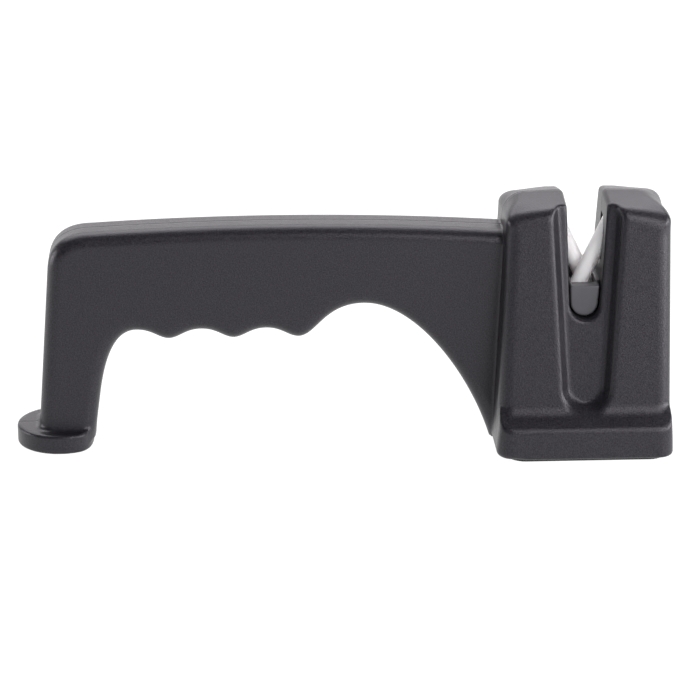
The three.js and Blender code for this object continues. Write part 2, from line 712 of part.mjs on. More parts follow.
function addMesh(name, geometry, finish) {
  const mesh = new THREE.Mesh(geometry, finish);
  mesh.name = name;
  sharpener.add(mesh);
  return mesh;
}

const body = bodySolid();
const [frontRod, rearRod] = rodSides;
addMesh("front_shell", geometryOf(halfOf(body, -1).subtract(rodTrough(frontRod))), charcoalPlastic);
addMesh("rear_shell", geometryOf(halfOf(body, 1).subtract(rodTrough(rearRod))), charcoalPlastic);
addMesh("rod_holder", geometryOf(holderSolid()), holderPlastic);
for (const side of rodSides) {
  const rod = addMesh(side.name, rodGeometry(), whiteCeramic);
  rod.position.set(slotX, side.y, crossingZ);
  rod.rotation.y = side.lean;
}
addMesh("base_pad", geometryOf(basePad(0, padTopZ)), blackRubber);
addMesh("foot_pad", geometryOf(footPad(0, padTopZ)), blackRubber);
for (const { name, x, z } of screws) {
  addMesh(name, screwGeometry(), zincSteel).position.set(x, screwSeatY + FIT_GAP, z);
}

export default sharpener;
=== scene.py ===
"""Looks of the knife sharpener: smooth moulded halves, rod holder, ceramic rods, pads and screws."""
import json
import math

import bpy
import numpy as np
from mathutils import Matrix, Vector


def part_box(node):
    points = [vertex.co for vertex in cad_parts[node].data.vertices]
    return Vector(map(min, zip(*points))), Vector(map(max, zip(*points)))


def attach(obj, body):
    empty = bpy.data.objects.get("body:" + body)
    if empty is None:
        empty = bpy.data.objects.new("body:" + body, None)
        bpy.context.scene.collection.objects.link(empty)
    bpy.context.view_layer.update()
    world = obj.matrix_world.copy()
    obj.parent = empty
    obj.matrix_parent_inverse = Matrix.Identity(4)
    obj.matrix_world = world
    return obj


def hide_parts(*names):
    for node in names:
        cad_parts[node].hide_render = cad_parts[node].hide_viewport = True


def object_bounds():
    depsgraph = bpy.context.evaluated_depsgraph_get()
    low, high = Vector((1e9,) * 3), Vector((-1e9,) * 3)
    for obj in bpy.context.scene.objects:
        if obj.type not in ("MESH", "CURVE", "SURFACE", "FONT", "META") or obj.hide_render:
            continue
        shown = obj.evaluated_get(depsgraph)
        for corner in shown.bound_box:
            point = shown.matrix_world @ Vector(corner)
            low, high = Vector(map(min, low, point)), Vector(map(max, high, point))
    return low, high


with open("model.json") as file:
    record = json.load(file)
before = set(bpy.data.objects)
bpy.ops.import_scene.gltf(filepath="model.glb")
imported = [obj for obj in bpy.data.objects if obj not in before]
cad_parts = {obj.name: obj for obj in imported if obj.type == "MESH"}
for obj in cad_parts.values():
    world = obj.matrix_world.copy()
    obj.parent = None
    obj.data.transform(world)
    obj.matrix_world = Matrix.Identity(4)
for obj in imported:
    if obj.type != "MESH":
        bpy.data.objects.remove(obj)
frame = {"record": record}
CAD_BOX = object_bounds()
MM = 0.001

# The head, in millimetres
LENGTH = 200.0
HEAD_WIDTH = 54.0
HEAD_HEIGHT = 78.2
HEAD_EDGE = 4.2
FACE_FOOT = 24.7  # half the depth between the faces, where they would meet the table
FACE_LEAN = math.radians(8.1)
LEFT_LEAN = math.radians(2.3)
RIGHT_LEAN = math.radians(0.55)
ROOF_LEAN = math.radians(9.5)
ROOF_EDGE = 2.6
ROOF_RIDGE = 0.8
ROOF_CROWN = 320.0  # radius of the ridge along the length
FACE_CROWN = 100.0  # radius of the roof's edges at the faces
LEFT_SHOULDER = 6.0
RIGHT_SHOULDER = 8.6
FACE_SHOULDER = 2.2  # the shoulders' radius at the faces
HEAD_RIGHT = LENGTH / 2
HEAD_LEFT = HEAD_RIGHT - HEAD_WIDTH
SLOT_OFF_MIDDLE = 0.35
HEAD_X = HEAD_RIGHT - HEAD_WIDTH / 2
SLOT_X = HEAD_X + SLOT_OFF_MIDDLE

# The plinth
BASE_HALF_DEPTH = 27.8
PLINTH_HEIGHT = 10.5
PLINTH_SLOPE = math.radians(38)
PLINTH_END_HEIGHT = 7.7
PLINTH_END_SLOPE = math.radians(82)
PLINTH_EDGE = 1.1
PLINTH_COVE = 1.7
PLINTH_END_COVE = 0.2
PLINTH_STEP = 0.6
PLINTH_UNDER_EDGE = 0.9
PLINTH_TOE_EDGE = 2.0  # under the end towards the grip
PLINTH_CORNER = 5.0

# The channel in each face
CHANNEL_DEPTH = 3.6
CHANNEL_DRAFT = 0.7
CHANNEL_SPREAD = 0.062
CHANNEL_FOOT_RADIUS = 5.2
CHANNEL_FOOT_HEIGHT = 21.9
CHANNEL_FLOOR_FILLET = 0.8
CHANNEL_RIM = 0.8

# The slot through the head
SLOT_RADIUS = 4.75
SLOT_FOOT_Z = 46.2
SLOT_SPREAD = 0.0389
SLOT_DRAFT = 0.012
SLOT_RIM = 1.0
SLOT_TOP_RIM = 1.6  # where the slot opens through the roof
SLOT_RIM_START = 3 * SLOT_TOP_RIM  # below the ridge, where the rim starts to get rounder
SLOT_RIM_RUN = 2 * SLOT_TOP_RIM
SLOT_SKEW = 0.041  # how much further the right wall leans out at the front face
SLOT_SKEW_Z = 66.7  # where both walls are equally far out
SLOT_SKEW_DEPTH = 17.0  # from the seam, where the skew is full

# The grip and its leg
GRIP_HALF = 8.8
GRIP_EDGE = 4.3
GRIP_OUT = 0.5  # added above and below, because a rounder edge looks lower from the front
GRIP_HEIGHT = 69.4 + GRIP_OUT
GRIP_PEAK = 66.4
GRIP_CROWN_RADIUS = 1000.0
GRIP_IN_HEAD = 10.8
OUTLINE_FOOT = -5.0  # below the table, so that its lower ends stay out of the form
FINGER_HEIGHT = 36.35 - GRIP_OUT
FINGER_WAVE = 1.43
FINGER_SCALLOP = 0.155  # makes the grooves wider than the ridges
FINGER_PITCH = 19.7
FINGER_GROOVES = 3
FIRST_GROOVE = 23.8
ARCH_HEIGHT = 45.2 - GRIP_OUT
ARCH_RUN = 20.0
ARCH_RISE_PULL = (5.6, 12.2)
ARCH_FALL_PULL = (15.4, 6.6)
ARCH_FALL_HEIGHT = 21.8
TOE_OUT = 0.5
LEG_OUTSIDE = 7.0
LEG_INSIDE = 10.0
LEG_OUTER_LEAN = 0.08
LEG_INNER_LEAN = 0.14
LEG_CORNER = 12.6
CROTCH_DROP = 20.5
NECK_FILLET = 0.35

# The foot
FOOT_RADIUS = 13.6
FOOT_TOP = 6.15
FOOT_EDGE = 0.8
FOOT_CORNER = 4.2
FOOT_FILLET = 1.6
FOOT_SOLE = 0.2  # height of the foot's own underside
LEG_END = FOOT_TOP / 2  # the leg ends inside the foot
FOOT_X = FOOT_RADIUS - LENGTH / 2

# Pads, seam and fits
PAD_PROUD = 1.0
PAD_RECESS_TOP = 2.2
PAD_EDGE = 0.35
PAD_INSET = 1.7
PAD_TOE_INSET = 3.2
PAD_CORNER = 6.0
FOOT_PAD_INSET = FOOT_EDGE + PAD_INSET / 2
SEAM_HALF_GAP = 0.004
FIT_GAP = 0.3

# Rods and their holder
ROD_RADIUS = 2.5
ROD_CLEARANCE = 0.25
ROD_TIP = 22.0  # from the crossing, along the rod
ROD_FOOT = -12.5
ROD_END_EDGE = 0.4
ROD_SEGMENTS = 72
ROD_RINGS = 25
ROD_END_STEPS = 5
CROSSING_Z = 51.9
ROD_LEAN = math.radians(25)
ROD_Y = 2.9
HOLDER_TOP = 51.4
HOLDER_HALF_LENGTH = 12.3
HOLDER_EDGE = 0.5
HOLDER_WALL = 1.8
WELL_HALF_LENGTH = 8.3  # the well in which the rods stand
WELL_WALL = 0.9
WELL_DEPTH = 7.2
WELL_EDGE = HOLDER_EDGE / 2
HOLDER_FOOT = CROSSING_Z - (ROD_RADIUS - ROD_FOOT) * math.cos(ROD_LEAN) - HOLDER_WALL
HOLDER_SIDE_X = -ROD_FOOT * math.sin(ROD_LEAN) + ROD_RADIUS / math.cos(ROD_LEAN) + HOLDER_WALL
HOLDER_SIDE_Y = ROD_Y + ROD_RADIUS + HOLDER_WALL

# The screws and their holes
SCREW_NODES = ["leg_screw", "grip_screw", "neck_screw", "head_screw_left", "head_screw_right"]
SCREW_HEAD_HEIGHT = 1.8
SCREW_SIZES = {
    "Head Radius": 2.75,
    "Head Height": SCREW_HEAD_HEIGHT,
    "Shank Radius": 1.3,
    "Shank Length": 9.0,
    "Recess Width": 0.85,
    "Recess Length": 3.1,
    "Recess Depth": 1.1,
}
SCREW_SEED = 4
SCREW_TURN = math.pi / 2  # the most that a screw is turned by
SCREW_POINT = 0.2  # radius of the shank's blunt point
SCREW_TAPER = 2.0  # length of the point, in radii of the shank
SCREW_SHARP_ANGLE = math.radians(35)
SCREW_HEAD_SEGMENTS = 40
SCREW_SHANK_SEGMENTS = 24
COUNTERBORE_RADIUS = 3.05
COUNTERBORE_RIM = 0.4

# Fineness of the meshes and of the curves in the grip's outline
SHELL_CELL = 0.56
FINE_CELL = 0.3
MARGIN_CELLS = 2  # empty cells round a form
SETTLE_ROUNDS = 3
PROBES_PER_CELL = 20
STRIDES_PER_CELL = 3
LEAST_SQUARED_SLOPE = 0.25
CURVE_STEPS = 40
LONG_CURVE_STEPS = 60
WAVE_STEPS = 90
TABLE_LOW = (-104.0, -6.0)  # x and z of the grid round the outline
TABLE_HIGH = (64.0, 84.0)
TABLE_STEP = 0.25

# The range that noise mostly keeps to
NOISE_LOW = 0.3
NOISE_HIGH = 0.7


def in_mm(box):
    """The two corners of a box, in millimetres."""
    return [np.array(corner) / MM for corner in box]


# Rounded joins and cuts of distance fields, which are below zero inside a form

def round_max(a, b, radius):
    """What two forms share, with a convex edge of that radius."""
    corner = np.hypot(np.maximum(a + radius, 0), np.maximum(b + radius, 0))
    return np.minimum(np.maximum(a, b), -radius) + corner


def round_min(a, b, radius):
    """Two forms together, with a fillet of that radius between them."""
    corner = np.hypot(np.maximum(radius - a, 0), np.maximum(radius - b, 0))
    return np.maximum(np.minimum(a, b), radius) - corner


def ease(share):
    """A share held between 0 and 1, with a soft start and end."""
    share = np.clip(share, 0, 1)
    return share * share * (3 - 2 * share)


def spread_u(x, z, radius, spread):
    """A U about the origin, open upwards, whose sides lean out from its round foot."""
    lean = math.atan(spread)
    across = np.abs(x)
    side = across * math.cos(lean) - z * math.sin(lean) - radius
    along = across * math.sin(lean) + z * math.cos(lean)
    return np.where(along > 0, side, np.hypot(x, z) - radius)


def rounded_plan(x, y, left, right, half_depth, corner):
    """A rounded rectangle seen from above."""
    dx = np.abs(x - (left + right) / 2) - (right - left) / 2 + corner
    dy = np.abs(y) - half_depth + corner
    return np.minimum(np.maximum(dx, dy), 0) + np.hypot(np.maximum(dx, 0), np.maximum(dy, 0)) - corner


# Outline of the grip

def bezier(controls, steps):
    """Points along a Bezier curve, its first point left out."""
    points = np.array(controls, float)
    share = np.linspace(0, 1, steps + 1)[1:, None, None]
    level = np.broadcast_to(points, (steps, *points.shape))
    while level.shape[1] > 1:
        level = level[:, :-1] * (1 - share) + level[:, 1:] * share
    return level[:, 0]


def crown_z(x):
    """Height of the grip's top."""
    return GRIP_HEIGHT - (x - FOOT_X - GRIP_PEAK) ** 2 / (2 * GRIP_CROWN_RADIUS)


def finger_z(x):
    """Height of the waved underside."""
    turn = (x - FOOT_X - FIRST_GROOVE) / FINGER_PITCH * 2 * math.pi
    wave = FINGER_WAVE * np.cos(turn) + FINGER_SCALLOP * (1 - np.cos(2 * turn))
    return FINGER_HEIGHT + wave


def leg_outer_x(z):
    return FOOT_X - LEG_OUTSIDE + z * LEG_OUTER_LEAN


def leg_inner_x(z):
    return FOOT_X + LEG_INSIDE + z * LEG_INNER_LEAN


def grip_underside():
    """The underside of the grip, from the inner foot of the leg to the toe at the head."""
    wave_start = FOOT_X + FIRST_GROOVE
    wave_top = float(finger_z(wave_start))
    crotch_z = wave_top - CROTCH_DROP
    last_ridge = wave_start + (FINGER_GROOVES - 0.5) * FINGER_PITCH
    ridge_z = FINGER_HEIGHT - FINGER_WAVE
    arch_x = last_ridge + ARCH_RUN
    toe = (HEAD_LEFT - TOE_OUT, PAD_PROUD)
    under_toe = (HEAD_LEFT - TOE_OUT, OUTLINE_FOOT)
    rise_leave, rise_reach = ARCH_RISE_PULL
    fall_leave, fall_reach = ARCH_FALL_PULL
    wave_x = np.linspace(wave_start, last_ridge, WAVE_STEPS + 1)[1:]
    leg_end = (leg_inner_x(crotch_z), crotch_z)
    corner = (leg_inner_x(wave_top), wave_top)
    ridge = (last_ridge, ridge_z)
    arch = (arch_x, ARCH_HEIGHT)
    rise = [ridge, (last_ridge + rise_leave, ridge_z), (arch_x - rise_reach, ARCH_HEIGHT), arch]
    fall = [arch, (arch_x + fall_leave, ARCH_HEIGHT), (toe[0] - fall_reach, ARCH_FALL_HEIGHT), toe]
    return np.vstack([
        [(leg_inner_x(OUTLINE_FOOT), OUTLINE_FOOT), leg_end],
        bezier([leg_end, corner, (wave_start, wave_top)], CURVE_STEPS),
        np.column_stack([wave_x, finger_z(wave_x)]),
        bezier(rise, CURVE_STEPS),
        bezier(fall, LONG_CURVE_STEPS),
        [under_toe],
    ])


def grip_outline():
    """The grip seen from the front, as a closed line of points."""
    in_head = HEAD_LEFT + GRIP_IN_HEAD
    corner_x = leg_outer_x(GRIP_HEIGHT) + LEG_CORNER
    corner_z = float(crown_z(corner_x))
    shoulder_z = GRIP_HEIGHT - LEG_CORNER
    crown_x = np.linspace(in_head, corner_x, LONG_CURVE_STEPS + 1)
    corner = (leg_outer_x(corner_z), corner_z)
    shoulder = [(corner_x, corner_z), corner, (leg_outer_x(shoulder_z), shoulder_z)]
    return np.vstack([
        [(leg_outer_x(OUTLINE_FOOT), OUTLINE_FOOT)],
        grip_underside(),
        [(in_head, OUTLINE_FOOT)],
        np.column_stack([crown_x, crown_z(crown_x)]),
        bezier(shoulder, CURVE_STEPS),
    ])


class OutlineTable:
    """Distances to a closed outline on a fine grid, read in between by linear steps."""

    FROM_END = 0.001  # how far places are kept from the grid's last line, in steps

    def __init__(self, outline, low, high, step):
        self.low = low
        self.step = step
        xs = np.arange(low[0], high[0], step)
        zs = np.arange(low[1], high[1], step)
        x, z = (a.astype(np.float32) for a in np.meshgrid(xs, zs, indexing="ij"))
        nearest = np.full(x.shape, np.inf, np.float32)
        inside = np.zeros(x.shape, bool)
        for (ax, az), (bx, bz) in zip(outline, np.roll(outline, -1, axis=0)):
            dx, dz = bx - ax, bz - az
            share = np.clip(((x - ax) * dx + (z - az) * dz) / (dx * dx + dz * dz), 0, 1)
            nearest = np.minimum(nearest, (x - ax - share * dx) ** 2 + (z - az - share * dz) ** 2)
            if az != bz:
                crosses = (az > z) != (bz > z)
                inside ^= crosses & (x < ax + (z - az) * dx / dz)
        self.values = np.where(inside, -1, 1) * np.sqrt(nearest)

    def split(self, places, axis):
        """Places along one axis as whole steps of the grid, and the share of a step that is left."""
        last = self.values.shape[axis] - 1 - self.FROM_END
        steps = np.clip((places - self.low[axis]) / self.step, 0, last)
        whole = steps.astype(int)
        return whole, steps - whole

    def __call__(self, x, z):
        i, u = self.split(x, 0)
        j, v = self.split(z, 1)
        near = self.values[i, j] * (1 - u) + self.values[i + 1, j] * u
        far = self.values[i, j + 1] * (1 - u) + self.values[i + 1, j + 1] * u
        return near * (1 - v) + far * v


GRIP_TABLE = OutlineTable(grip_outline(), TABLE_LOW, TABLE_HIGH, TABLE_STEP)


# The outer form of the body

def grip_form(x, y, z):
    edge = GRIP_TABLE(x + 0 * z, z + 0 * x)
    form = round_max(edge, np.abs(y) - GRIP_HALF, GRIP_EDGE)
    lower_end = np.where(x < 0, LEG_END, PAD_PROUD)
    return np.maximum(form, lower_end - z)


def foot_form(x, y, z):
    plan = round_max(np.hypot(x - FOOT_X, y) - FOOT_RADIUS, x - FOOT_X - LEG_INSIDE, FOOT_CORNER)
    plan = round_max(plan, z - FOOT_TOP, FOOT_EDGE)
    return round_max(plan, FOOT_SOLE - z, FOOT_EDGE)


def head_form(x, y, z):
    depth = np.abs(y)
    face = (depth - FACE_FOOT + z * math.tan(FACE_LEAN)) * math.cos(FACE_LEAN)
    left = (HEAD_LEFT + z * math.tan(LEFT_LEAN) - x) * math.cos(LEFT_LEAN)
    right = (x - HEAD_RIGHT + PLINTH_STEP + z * math.tan(RIGHT_LEAN)) * math.cos(RIGHT_LEAN)
    from_ridge = np.hypot(y, ROOF_RIDGE) - ROOF_RIDGE
    to_face = ease(depth / (FACE_FOOT - HEAD_HEIGHT * math.tan(FACE_LEAN)))
    crown = (x - SLOT_X) ** 2 / (2 * (ROOF_CROWN + (FACE_CROWN - ROOF_CROWN) * to_face))
    roof = (z - HEAD_HEIGHT + crown + from_ridge * math.tan(ROOF_LEAN)) * math.cos(ROOF_LEAN)
    on_left = x < SLOT_X
    at_ridge = np.where(on_left, LEFT_SHOULDER, RIGHT_SHOULDER)
    shoulder = at_ridge + (FACE_SHOULDER - at_ridge) * to_face
    profile = round_max(np.where(on_left, left, right), roof, shoulder)
    rise = ease((z - HEAD_HEIGHT + RIGHT_SHOULDER + ROOF_EDGE) / RIGHT_SHOULDER)
    form = round_max(profile, face, HEAD_EDGE + (ROOF_EDGE - HEAD_EDGE) * rise)
    inside_plinth = PLINTH_HEIGHT / 2
    return np.maximum(form, inside_plinth - z)


def plinth_form(x, y, z):
    plan = rounded_plan(x, y, HEAD_LEFT, HEAD_RIGHT, BASE_HALF_DEPTH, PLINTH_CORNER)
    from_end = np.abs(x - HEAD_X) - HEAD_WIDTH / 2
    slope = (z - PLINTH_HEIGHT) * math.cos(PLINTH_SLOPE)
    slope = slope + (np.abs(y) - BASE_HALF_DEPTH) * math.sin(PLINTH_SLOPE)
    end = (z - PLINTH_END_HEIGHT) * math.cos(PLINTH_END_SLOPE) + from_end * math.sin(PLINTH_END_SLOPE)
    form = round_max(plan, np.maximum(slope, end), PLINTH_EDGE)
    toe = ease((HEAD_LEFT + 2 * PLINTH_CORNER - x) / PLINTH_CORNER)
    under = PLINTH_UNDER_EDGE + (PLINTH_TOE_EDGE - PLINTH_UNDER_EDGE) * toe
    return round_max(form, PAD_PROUD - z, under)


def cove_radius(x):
    """The cove over the plinth, which runs out towards the two ends."""
    to_end = ease((np.abs(x - HEAD_X) - HEAD_WIDTH / 2 + PLINTH_CORNER) / PLINTH_CORNER)
    return PLINTH_COVE + (PLINTH_END_COVE - PLINTH_COVE) * to_end


def channel_form(x, y, z):
    back = np.abs(y) - FACE_FOOT
    up = z * math.cos(FACE_LEAN) - back * math.sin(FACE_LEAN)
    out = z * math.sin(FACE_LEAN) + back * math.cos(FACE_LEAN)
    width = spread_u(x - SLOT_X, up - CHANNEL_FOOT_HEIGHT, CHANNEL_FOOT_RADIUS, CHANNEL_SPREAD)
    above_floor = out + CHANNEL_DEPTH
    wall = (width - above_floor * CHANNEL_DRAFT) * math.cos(math.atan(CHANNEL_DRAFT))
    return round_max(wall, -above_floor, CHANNEL_FLOOR_FILLET)


def slot_across(x, y, z):
    """Places across the slot, whose right wall in front and left wall behind lean further out."""
    across = x - SLOT_X
    share = np.clip(np.abs(y) / SLOT_SKEW_DEPTH, 0, 1)
    height = np.maximum(z, SLOT_FOOT_Z)
    half = SLOT_RADIUS + (height - SLOT_FOOT_Z) * SLOT_SPREAD
    out = SLOT_SKEW * (height - SLOT_SKEW_Z) * share
    return np.where(across * y < 0, across * half / (half + out), across)


def slot_form(x, y, z, radius):
    """The slot's U, with a foot of that radius."""
    return spread_u(slot_across(x, y, z), z - SLOT_FOOT_Z, radius, SLOT_SPREAD)


def slot_rim(z):
    """The slot's edge gets rounder towards the roof."""
    rise = ease((z - HEAD_HEIGHT + SLOT_RIM_START) / SLOT_RIM_RUN)
    return SLOT_RIM + (SLOT_TOP_RIM - SLOT_RIM) * rise


# Holder and rod seats

def holder_core(x, y, z, margin=0.0):
    across = np.abs(x - SLOT_X) - HOLDER_SIDE_X - margin
    deep = np.abs(y) - HOLDER_SIDE_Y - margin
    high = np.maximum(z - HOLDER_TOP - margin, HOLDER_FOOT - margin - z)
    return np.maximum(np.maximum(across, deep), high)


def rod_frame(x, y, z, side):
    """Places along a rod, across it and towards the rear of its middle; side is -1 for the front rod."""
    lean = -side * ROD_LEAN
    along = (x - SLOT_X) * math.sin(lean) + (z - CROSSING_Z) * math.cos(lean)
    across = (x - SLOT_X) * math.cos(lean) - (z - CROSSING_Z) * math.sin(lean)
    return along, across, y - side * ROD_Y


def rod_bore(x, y, z, side):
    along, across, back = rod_frame(x, y, z, side)
    round_part = np.hypot(across, back) - ROD_RADIUS - ROD_CLEARANCE
    return np.maximum(round_part, np.maximum(along - ROD_TIP - FIT_GAP, ROD_FOOT - FIT_GAP - along))


def rod_trough(x, y, z, side):
    """The upper seat of a rod, open towards the seam."""
    along, across, back = rod_frame(x, y, z, side)
    radius = ROD_RADIUS + ROD_CLEARANCE
    section = np.where(back * side < 0, np.abs(across), np.hypot(across, back)) - radius
    return np.maximum(section, np.maximum(along - ROD_TIP - FIT_GAP, -along))


# Holes for the screws, whose places are read from the frame

def screw_places():
    """Each screw's middle along the length, the rear of its head and its height, in millimetres."""
    places = []
    for node in SCREW_NODES:
        low, high = in_mm(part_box(node))
        places.append(((low[0] + high[0]) / 2, high[1], (low[2] + high[2]) / 2))
    return places


SCREWS = screw_places()


def counterbore(x, y, z, place):
    middle_x, rear, middle_z = place
    seat = rear - SCREW_HEAD_HEIGHT - FIT_GAP
    return np.maximum(np.hypot(x - middle_x, z - middle_z) - COUNTERBORE_RADIUS, seat - y)


# The pads, seen from above

def base_pad_plan(x, y, margin):
    left = HEAD_LEFT + PAD_TOE_INSET - margin
    right = HEAD_RIGHT - PAD_INSET + margin
    return rounded_plan(x, y, left, right, BASE_HALF_DEPTH - PAD_INSET + margin, PAD_CORNER + margin)


def foot_pad_plan(x, y, margin):
    draw = FOOT_PAD_INSET - margin
    circle = np.hypot(x - FOOT_X, y) - FOOT_RADIUS + draw
    return round_max(circle, x - FOOT_X - LEG_INSIDE + draw, FOOT_CORNER - draw)


# Whole pieces

def body_form(x, y, z):
    form = round_min(head_form(x, y, z), plinth_form(x, y, z), cove_radius(x))
    form = round_min(form, grip_form(x, y, z), NECK_FILLET)
    form = round_min(form, foot_form(x, y, z), FOOT_FILLET)
    form = round_max(form, -channel_form(x, y, z), CHANNEL_RIM)
    slot = slot_form(x, y, z, SLOT_RADIUS + np.abs(y) * SLOT_DRAFT)
    form = round_max(form, -slot, slot_rim(z))
    form = np.maximum(form, -holder_core(x, y, z, FIT_GAP))
    recess = np.minimum(base_pad_plan(x, y, FIT_GAP), foot_pad_plan(x, y, FIT_GAP))
    return np.maximum(form, -np.maximum(recess, z - PAD_RECESS_TOP))


def front_body(x, y, z):
    return np.maximum(body_form(x, y, z), -rod_trough(x, y, z, -1))


def rear_body(x, y, z):
    form = body_form(x, y, z)
    for place in SCREWS:
        form = round_max(form, -counterbore(x, y, z, place), COUNTERBORE_RIM)
    return np.maximum(form, -rod_trough(x, y, z, 1))


def holder_form(x, y, z):
    plug = slot_form(x, y, z, SLOT_RADIUS - FIT_GAP)
    nose = round_max(plug, z - HOLDER_TOP, HOLDER_EDGE)
    nose = round_max(nose, np.abs(y) - HOLDER_HALF_LENGTH, HOLDER_EDGE)
    form = np.minimum(nose, holder_core(x, y, z))
    well = slot_form(x, y, z, SLOT_RADIUS - (FIT_GAP + WELL_WALL))
    well = np.maximum(well, HOLDER_TOP - WELL_DEPTH - z)
    well = np.maximum(well, np.abs(y) - WELL_HALF_LENGTH)
    form = round_max(form, -well, WELL_EDGE)
    for side in (-1, 1):
        form = np.maximum(form, -rod_bore(x, y, z, side))
    return form


def pad_form(plan, low_z, high_z):
    """A sheet of that plan between two heights, with its edges rounded."""
    def form(x, y, z):
        sheet = round_max(plan(x, y, 0.0), z - high_z, PAD_EDGE)
        return round_max(sheet, low_z - z, PAD_EDGE)
    return form


# Meshes from distance fields

def corner_shift(values, offset):
    """The values at one corner of every cell."""
    ends = [size - 1 for size in values.shape]
    return values[tuple(slice(o, o + n) for o, n in zip(offset, ends))]


CELL_CORNERS = [(i, j, k) for i in (0, 1) for j in (0, 1) for k in (0, 1)]
CELL_EDGES = [
    (a, b) for a in CELL_CORNERS for b in CELL_CORNERS
    if a < b and sum(q - p for p, q in zip(a, b)) == 1 and all(q >= p for p, q in zip(a, b))
]


def net_vertices(values, active):
    """In each active cell, the mean of the places where the surface crosses its edges, in cells."""
    cells = np.argwhere(active)
    total = np.zeros(cells.shape)
    count = np.zeros((len(cells), 1))
    for a, b in CELL_EDGES:
        va = corner_shift(values, a)[active]
        vb = corner_shift(values, b)[active]
        crossing = (va < 0) != (vb < 0)
        share = np.where(crossing, va / np.where(crossing, va - vb, 1), 0)[:, None]
        place = np.array(a) + share * (np.array(b) - np.array(a))
        total += np.where(crossing[:, None], place, 0)
        count += crossing[:, None]
    return cells + total / count


def net_faces(values, index):
    """One quad round each grid edge that the surface crosses."""
    inside = values < 0
    faces = []
    for axis in range(3):
        u, v = (axis + 1) % 3, (axis + 2) % 3
        low = [slice(1, -1)] * 3
        low[axis] = slice(0, -1)
        high = list(low)
        high[axis] = slice(1, None)
        starts, ends = inside[tuple(low)], inside[tuple(high)]
        edges = np.argwhere(starts != ends)
        outward = starts[tuple(edges.T)]
        edges[:, u] += 1
        edges[:, v] += 1
        ring = []
        for du, dv in ((-1, -1), (0, -1), (0, 0), (-1, 0)):
            cell = edges.copy()
            cell[:, u] += du
            cell[:, v] += dv
            ring.append(index[tuple(cell.T)])
        quad = np.column_stack(ring)
        quad[~outward] = quad[~outward][:, ::-1]
        faces.append(quad)
    return np.vstack(faces)


def settle(points, form, cell):
    """Points moved onto the surface, along the slope of the field."""
    step = cell / PROBES_PER_CELL
    stride = cell / STRIDES_PER_CELL
    for _ in range(SETTLE_ROUNDS):
        x, y, z = points.T
        value = form(x, y, z)
        slope = np.column_stack([
            form(x + step, y, z) - form(x - step, y, z),
            form(x, y + step, z) - form(x, y - step, z),
            form(x, y, z + step) - form(x, y, z - step),
        ]) / (2 * step)
        size = np.maximum((slope ** 2).sum(axis=1), LEAST_SQUARED_SLOPE)
        points = points - slope * np.clip(value / size, -stride, stride)[:, None]
    return points


def net_object(name, points, faces, flat=()):
    """An object in metres from points in millimetres, smooth but for the flat faces."""
    mesh = bpy.data.meshes.new(name)
    mesh.from_pydata((points * MM).tolist(), [], faces.tolist())
    smooth = np.ones(len(faces), bool)
    smooth[list(flat)] = False
    mesh.polygons.foreach_set("use_smooth", smooth)
    mesh.update()
    return link_object(name, mesh)


def net_cells(values):
    """The cells that the surface runs through, and the number of each one's vertex."""
    inside = values < 0
    corners = [corner_shift(inside, offset) for offset in CELL_CORNERS]
    active = np.logical_or.reduce(corners) & ~np.logical_and.reduce(corners)
    index = np.full(active.shape, -1)
    index[active] = np.arange(active.sum())
    return active, index


def grid_line(low, high, cell):
    """Grid lines from low to high with empty cells past both ends."""
    return np.arange(low - MARGIN_CELLS * cell, high + (MARGIN_CELLS + 1) * cell, cell, dtype=np.float32)


def on_grid(form, x, y, z):
    """A form's values at all places of a grid."""
    return form(x[:, None, None], y[None, :, None], z[None, None, :])


def net_mesh(name, form, low, high, cell):
    """A smooth closed mesh of a form inside a box."""
    x, y, z = (grid_line(a, b, cell) for a, b in zip(low, high))
    values = on_grid(form, x, y, z)
    active, index = net_cells(values)
    start = np.array([x[0], y[0], z[0]])
    points = settle(start + net_vertices(values, active) * cell, form, cell)
    return net_object(name, points, net_faces(values, index))


def seam_cells(values, cells, side):
    """Which cells lie on the seam, and which of those on the edge of its flat face."""
    seam_layer = 0 if side > 0 else values.shape[1] - 2
    last_layer = values[:, 1 if side > 0 else -2, :] < 0
    whole = last_layer[:-1, :-1] & last_layer[1:, :-1] & last_layer[:-1, 1:] & last_layer[1:, 1:]
    on_seam = cells[:, 1] == seam_layer
    return on_seam, on_seam & ~whole[cells[:, 0], cells[:, 2]]


def half_mesh(name, form, low, high, side, cell):
    """The half of a form on one side of the seam, -1 in front, cut off square and with a sharp edge."""
    seam = side * SEAM_HALF_GAP
    x, z = (grid_line(low[i], high[i], cell) for i in (0, 2))
    layers = int(max(abs(low[1]), abs(high[1])) / cell) + 2 * MARGIN_CELLS
    y = seam + side * cell * (np.arange(layers, dtype=np.float32) - 0.5)
    y.sort()
    past_seam = (seam - y) * side
    values = np.maximum(on_grid(form, x, y, z), past_seam[None, :, None])
    active, index = net_cells(values)
    start = np.array([x[0], y[0], z[0]])
    raw = start + net_vertices(values, active) * cell
    points = settle(raw, form, cell)
    on_seam, on_edge = seam_cells(values, np.argwhere(active), side)
    points[on_seam] = raw[on_seam]
    points[on_seam, 1] = seam
    points[on_edge] = settle(points[on_edge], lambda a, b, c: form(a, 0 * b + seam, c), cell)
    faces = net_faces(values, index)
    return net_object(name, points, faces, np.flatnonzero(on_seam[faces].all(axis=1)))


def link_object(name, data):
    obj = bpy.data.objects.new(name, data)
    bpy.context.scene.collection.objects.link(obj)
    return obj


# Material helpers

def new_material(name):
    material = bpy.data.materials.new(name)
    material.use_nodes = True
    tree = material.node_tree
    return material, tree, tree.nodes["Principled BSDF"]


